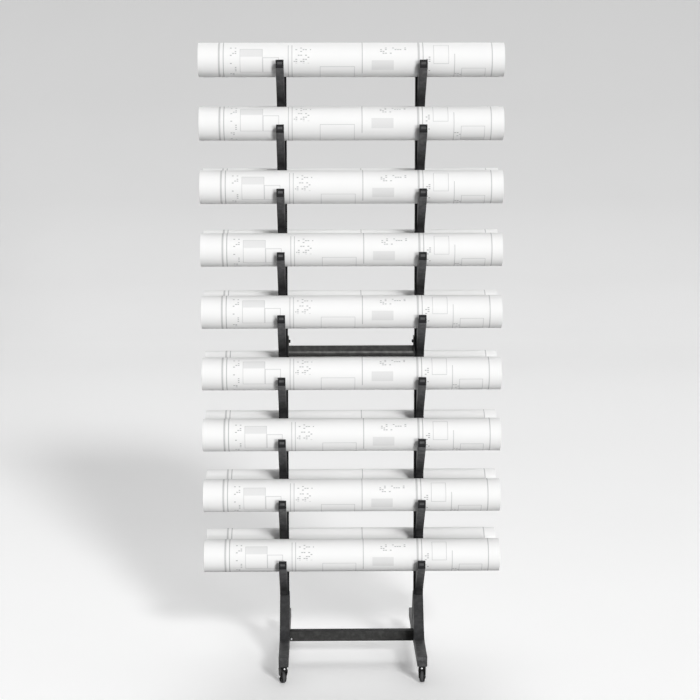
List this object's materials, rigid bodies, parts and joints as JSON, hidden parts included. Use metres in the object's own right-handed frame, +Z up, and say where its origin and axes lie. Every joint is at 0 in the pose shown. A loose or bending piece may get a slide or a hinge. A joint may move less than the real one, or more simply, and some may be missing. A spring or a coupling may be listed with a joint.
{
  "type": "roll file rack",
  "caption": "Tall free-standing roll file rack on swivel casters, open on both sides, with sloping cradle arms that hold plan rolls to the front and back of two posts.",
  "frame": {"origin": "on the floor, under the middle of the rack", "axes": "+Z up, +X along the rolls to the right as seen from the front, -Y to the front"},
  "size_m": [0.914, 0.55, 1.925],
  "materials": {
    "bracket_coat": "charcoal satin powder coat on a casting",
    "foot_coat": "charcoal satin powder coat on a casting",
    "bar_coat": "dark charcoal powder coat on flat steel bar",
    "rail_coat": "charcoal powder coat on steel tube and folded sheet",
    "black_screw": "black oxide screw",
    "zinc": "bright zinc plate",
    "black_nylon": "black moulded nylon",
    "black_tread": "black moulded wheel",
    "white_paper": "white plan sheets with faint grey line print, rolled"
  },
  "bodies": {
    "frame": {"left_bracket_1": "bracket_coat", "right_bracket_1": "bracket_coat", "left_bracket_2": "bracket_coat", "right_bracket_2": "bracket_coat", "left_bracket_3": "bracket_coat", "right_bracket_3": "bracket_coat", "left_bracket_4": "bracket_coat", "right_bracket_4": "bracket_coat", "left_bracket_5": "bracket_coat", "right_bracket_5": "bracket_coat", "left_bracket_6": "bracket_coat", "right_bracket_6": "bracket_coat", "left_bracket_7": "bracket_coat", "right_bracket_7": "bracket_coat", "left_bracket_8": "bracket_coat", "right_bracket_8": "bracket_coat", "left_bracket_9": "bracket_coat", "right_bracket_9": "bracket_coat", "left_upright_bar": "bar_coat", "left_foot": "foot_coat", "left_crossbar_bolt": "black_screw", "right_upright_bar": "bar_coat", "right_foot": "foot_coat", "right_crossbar_bolt": "black_screw", "low_crossbar": "rail_coat", "mid_crossbar": "rail_coat", "front_left_caster_stem": "zinc", "front_right_caster_stem": "zinc", "back_left_caster_stem": "zinc", "back_right_caster_stem": "zinc"},
    "front_left_caster": {"front_left_caster_fork": "black_nylon", "front_left_caster_axle": "zinc"},
    "front_left_caster_roller": {"front_left_caster_wheel": "black_tread"},
    "front_right_caster": {"front_right_caster_fork": "black_nylon", "front_right_caster_axle": "zinc"},
    "front_right_caster_roller": {"front_right_caster_wheel": "black_tread"},
    "back_left_caster": {"back_left_caster_fork": "black_nylon", "back_left_caster_axle": "zinc"},
    "back_left_caster_roller": {"back_left_caster_wheel": "black_tread"},
    "back_right_caster": {"back_right_caster_fork": "black_nylon", "back_right_caster_axle": "zinc"},
    "back_right_caster_roller": {"back_right_caster_wheel": "black_tread"},
    "level_1_front": {"front_roll_1": "white_paper"},
    "level_1_back": {"back_roll_1": "white_paper"},
    "level_2_front": {"front_roll_2": "white_paper"},
    "level_2_back": {"back_roll_2": "white_paper"},
    "level_3_front": {"front_roll_3": "white_paper"},
    "level_3_back": {"back_roll_3": "white_paper"},
    "level_4_front": {"front_roll_4": "white_paper"},
    "level_4_back": {"back_roll_4": "white_paper"},
    "level_5_front": {"front_roll_5": "white_paper"},
    "level_5_back": {"back_roll_5": "white_paper"},
    "level_6_front": {"front_roll_6": "white_paper"},
    "level_6_back": {"back_roll_6": "white_paper"},
    "level_7_front": {"front_roll_7": "white_paper"},
    "level_7_back": {"back_roll_7": "white_paper"},
    "level_8_front": {"front_roll_8": "white_paper"},
    "level_8_back": {"back_roll_8": "white_paper"},
    "level_9_front": {"front_roll_9": "white_paper"},
    "level_9_back": {"back_roll_9": "white_paper"}
  },
  "joints": [
    {"name": "front_left_swivel", "type": "hinge", "parent": "frame", "child": "front_left_caster", "pos_m": [-0.20975, -0.257, 0.0445], "axis": [0, 0, 1], "continuous": true},
    {"name": "front_left_wheel_spin", "type": "hinge", "parent": "front_left_caster", "child": "front_left_caster_roller", "pos_m": [-0.21306, -0.24546, 0.02], "axis": [0.9613, 0.2756, 0], "continuous": true},
    {"name": "front_right_swivel", "type": "hinge", "parent": "frame", "child": "front_right_caster", "pos_m": [0.20975, -0.257, 0.0445], "axis": [0, 0, 1], "continuous": true},
    {"name": "front_right_wheel_spin", "type": "hinge", "parent": "front_right_caster", "child": "front_right_caster_roller", "pos_m": [0.21121, -0.24509, 0.02], "axis": [0.9925, -0.1219, 0], "continuous": true},
    {"name": "back_left_swivel", "type": "hinge", "parent": "frame", "child": "back_left_caster", "pos_m": [-0.20975, 0.257, 0.0445], "axis": [0, 0, 1], "continuous": true},
    {"name": "back_left_wheel_spin", "type": "hinge", "parent": "back_left_caster", "child": "back_left_caster_roller", "pos_m": [-0.20975, 0.245, 0.02], "axis": [-1, 0, 0], "continuous": true},
    {"name": "back_right_swivel", "type": "hinge", "parent": "frame", "child": "back_right_caster", "pos_m": [0.20975, 0.257, 0.0445], "axis": [0, 0, 1], "continuous": true},
    {"name": "back_right_wheel_spin", "type": "hinge", "parent": "back_right_caster", "child": "back_right_caster_roller", "pos_m": [0.20975, 0.245, 0.02], "axis": [-1, 0, 0], "continuous": true},
    {"name": "front_roll_1_lift", "type": "slide", "parent": "frame", "child": "level_1_front", "axis": [0, -0.6508, 0.7593], "range_m": [0, 0.14]},
    {"name": "back_roll_1_lift", "type": "slide", "parent": "frame", "child": "level_1_back", "axis": [0, 0.6508, 0.7593], "range_m": [0, 0.14]},
    {"name": "front_roll_2_lift", "type": "slide", "parent": "frame", "child": "level_2_front", "axis": [0, -0.6508, 0.7593], "range_m": [0, 0.14]},
    {"name": "back_roll_2_lift", "type": "slide", "parent": "frame", "child": "level_2_back", "axis": [0, 0.6508, 0.7593], "range_m": [0, 0.14]},
    {"name": "front_roll_3_lift", "type": "slide", "parent": "frame", "child": "level_3_front", "axis": [0, -0.6508, 0.7593], "range_m": [0, 0.14]},
    {"name": "back_roll_3_lift", "type": "slide", "parent": "frame", "child": "level_3_back", "axis": [0, 0.6508, 0.7593], "range_m": [0, 0.14]},
    {"name": "front_roll_4_lift", "type": "slide", "parent": "frame", "child": "level_4_front", "axis": [0, -0.6508, 0.7593], "range_m": [0, 0.14]},
    {"name": "back_roll_4_lift", "type": "slide", "parent": "frame", "child": "level_4_back", "axis": [0, 0.6508, 0.7593], "range_m": [0, 0.14]},
    {"name": "front_roll_5_lift", "type": "slide", "parent": "frame", "child": "level_5_front", "axis": [0, -0.6508, 0.7593], "range_m": [0, 0.14]},
    {"name": "back_roll_5_lift", "type": "slide", "parent": "frame", "child": "level_5_back", "axis": [0, 0.6508, 0.7593], "range_m": [0, 0.14]},
    {"name": "front_roll_6_lift", "type": "slide", "parent": "frame", "child": "level_6_front", "axis": [0, -0.6508, 0.7593], "range_m": [0, 0.14]},
    {"name": "back_roll_6_lift", "type": "slide", "parent": "frame", "child": "level_6_back", "axis": [0, 0.6508, 0.7593], "range_m": [0, 0.14]},
    {"name": "front_roll_7_lift", "type": "slide", "parent": "frame", "child": "level_7_front", "axis": [0, -0.6508, 0.7593], "range_m": [0, 0.14]},
    {"name": "back_roll_7_lift", "type": "slide", "parent": "frame", "child": "level_7_back", "axis": [0, 0.6508, 0.7593], "range_m": [0, 0.14]},
    {"name": "front_roll_8_lift", "type": "slide", "parent": "frame", "child": "level_8_front", "axis": [0, -0.6508, 0.7593], "range_m": [0, 0.14]},
    {"name": "back_roll_8_lift", "type": "slide", "parent": "frame", "child": "level_8_back", "axis": [0, 0.6508, 0.7593], "range_m": [0, 0.14]},
    {"name": "front_roll_9_lift", "type": "slide", "parent": "frame", "child": "level_9_front", "axis": [0, -0.6508, 0.7593], "range_m": [0, 0.14]},
    {"name": "back_roll_9_lift", "type": "slide", "parent": "frame", "child": "level_9_back", "axis": [0, 0.6508, 0.7593], "range_m": [0, 0.14]}
  ]
}
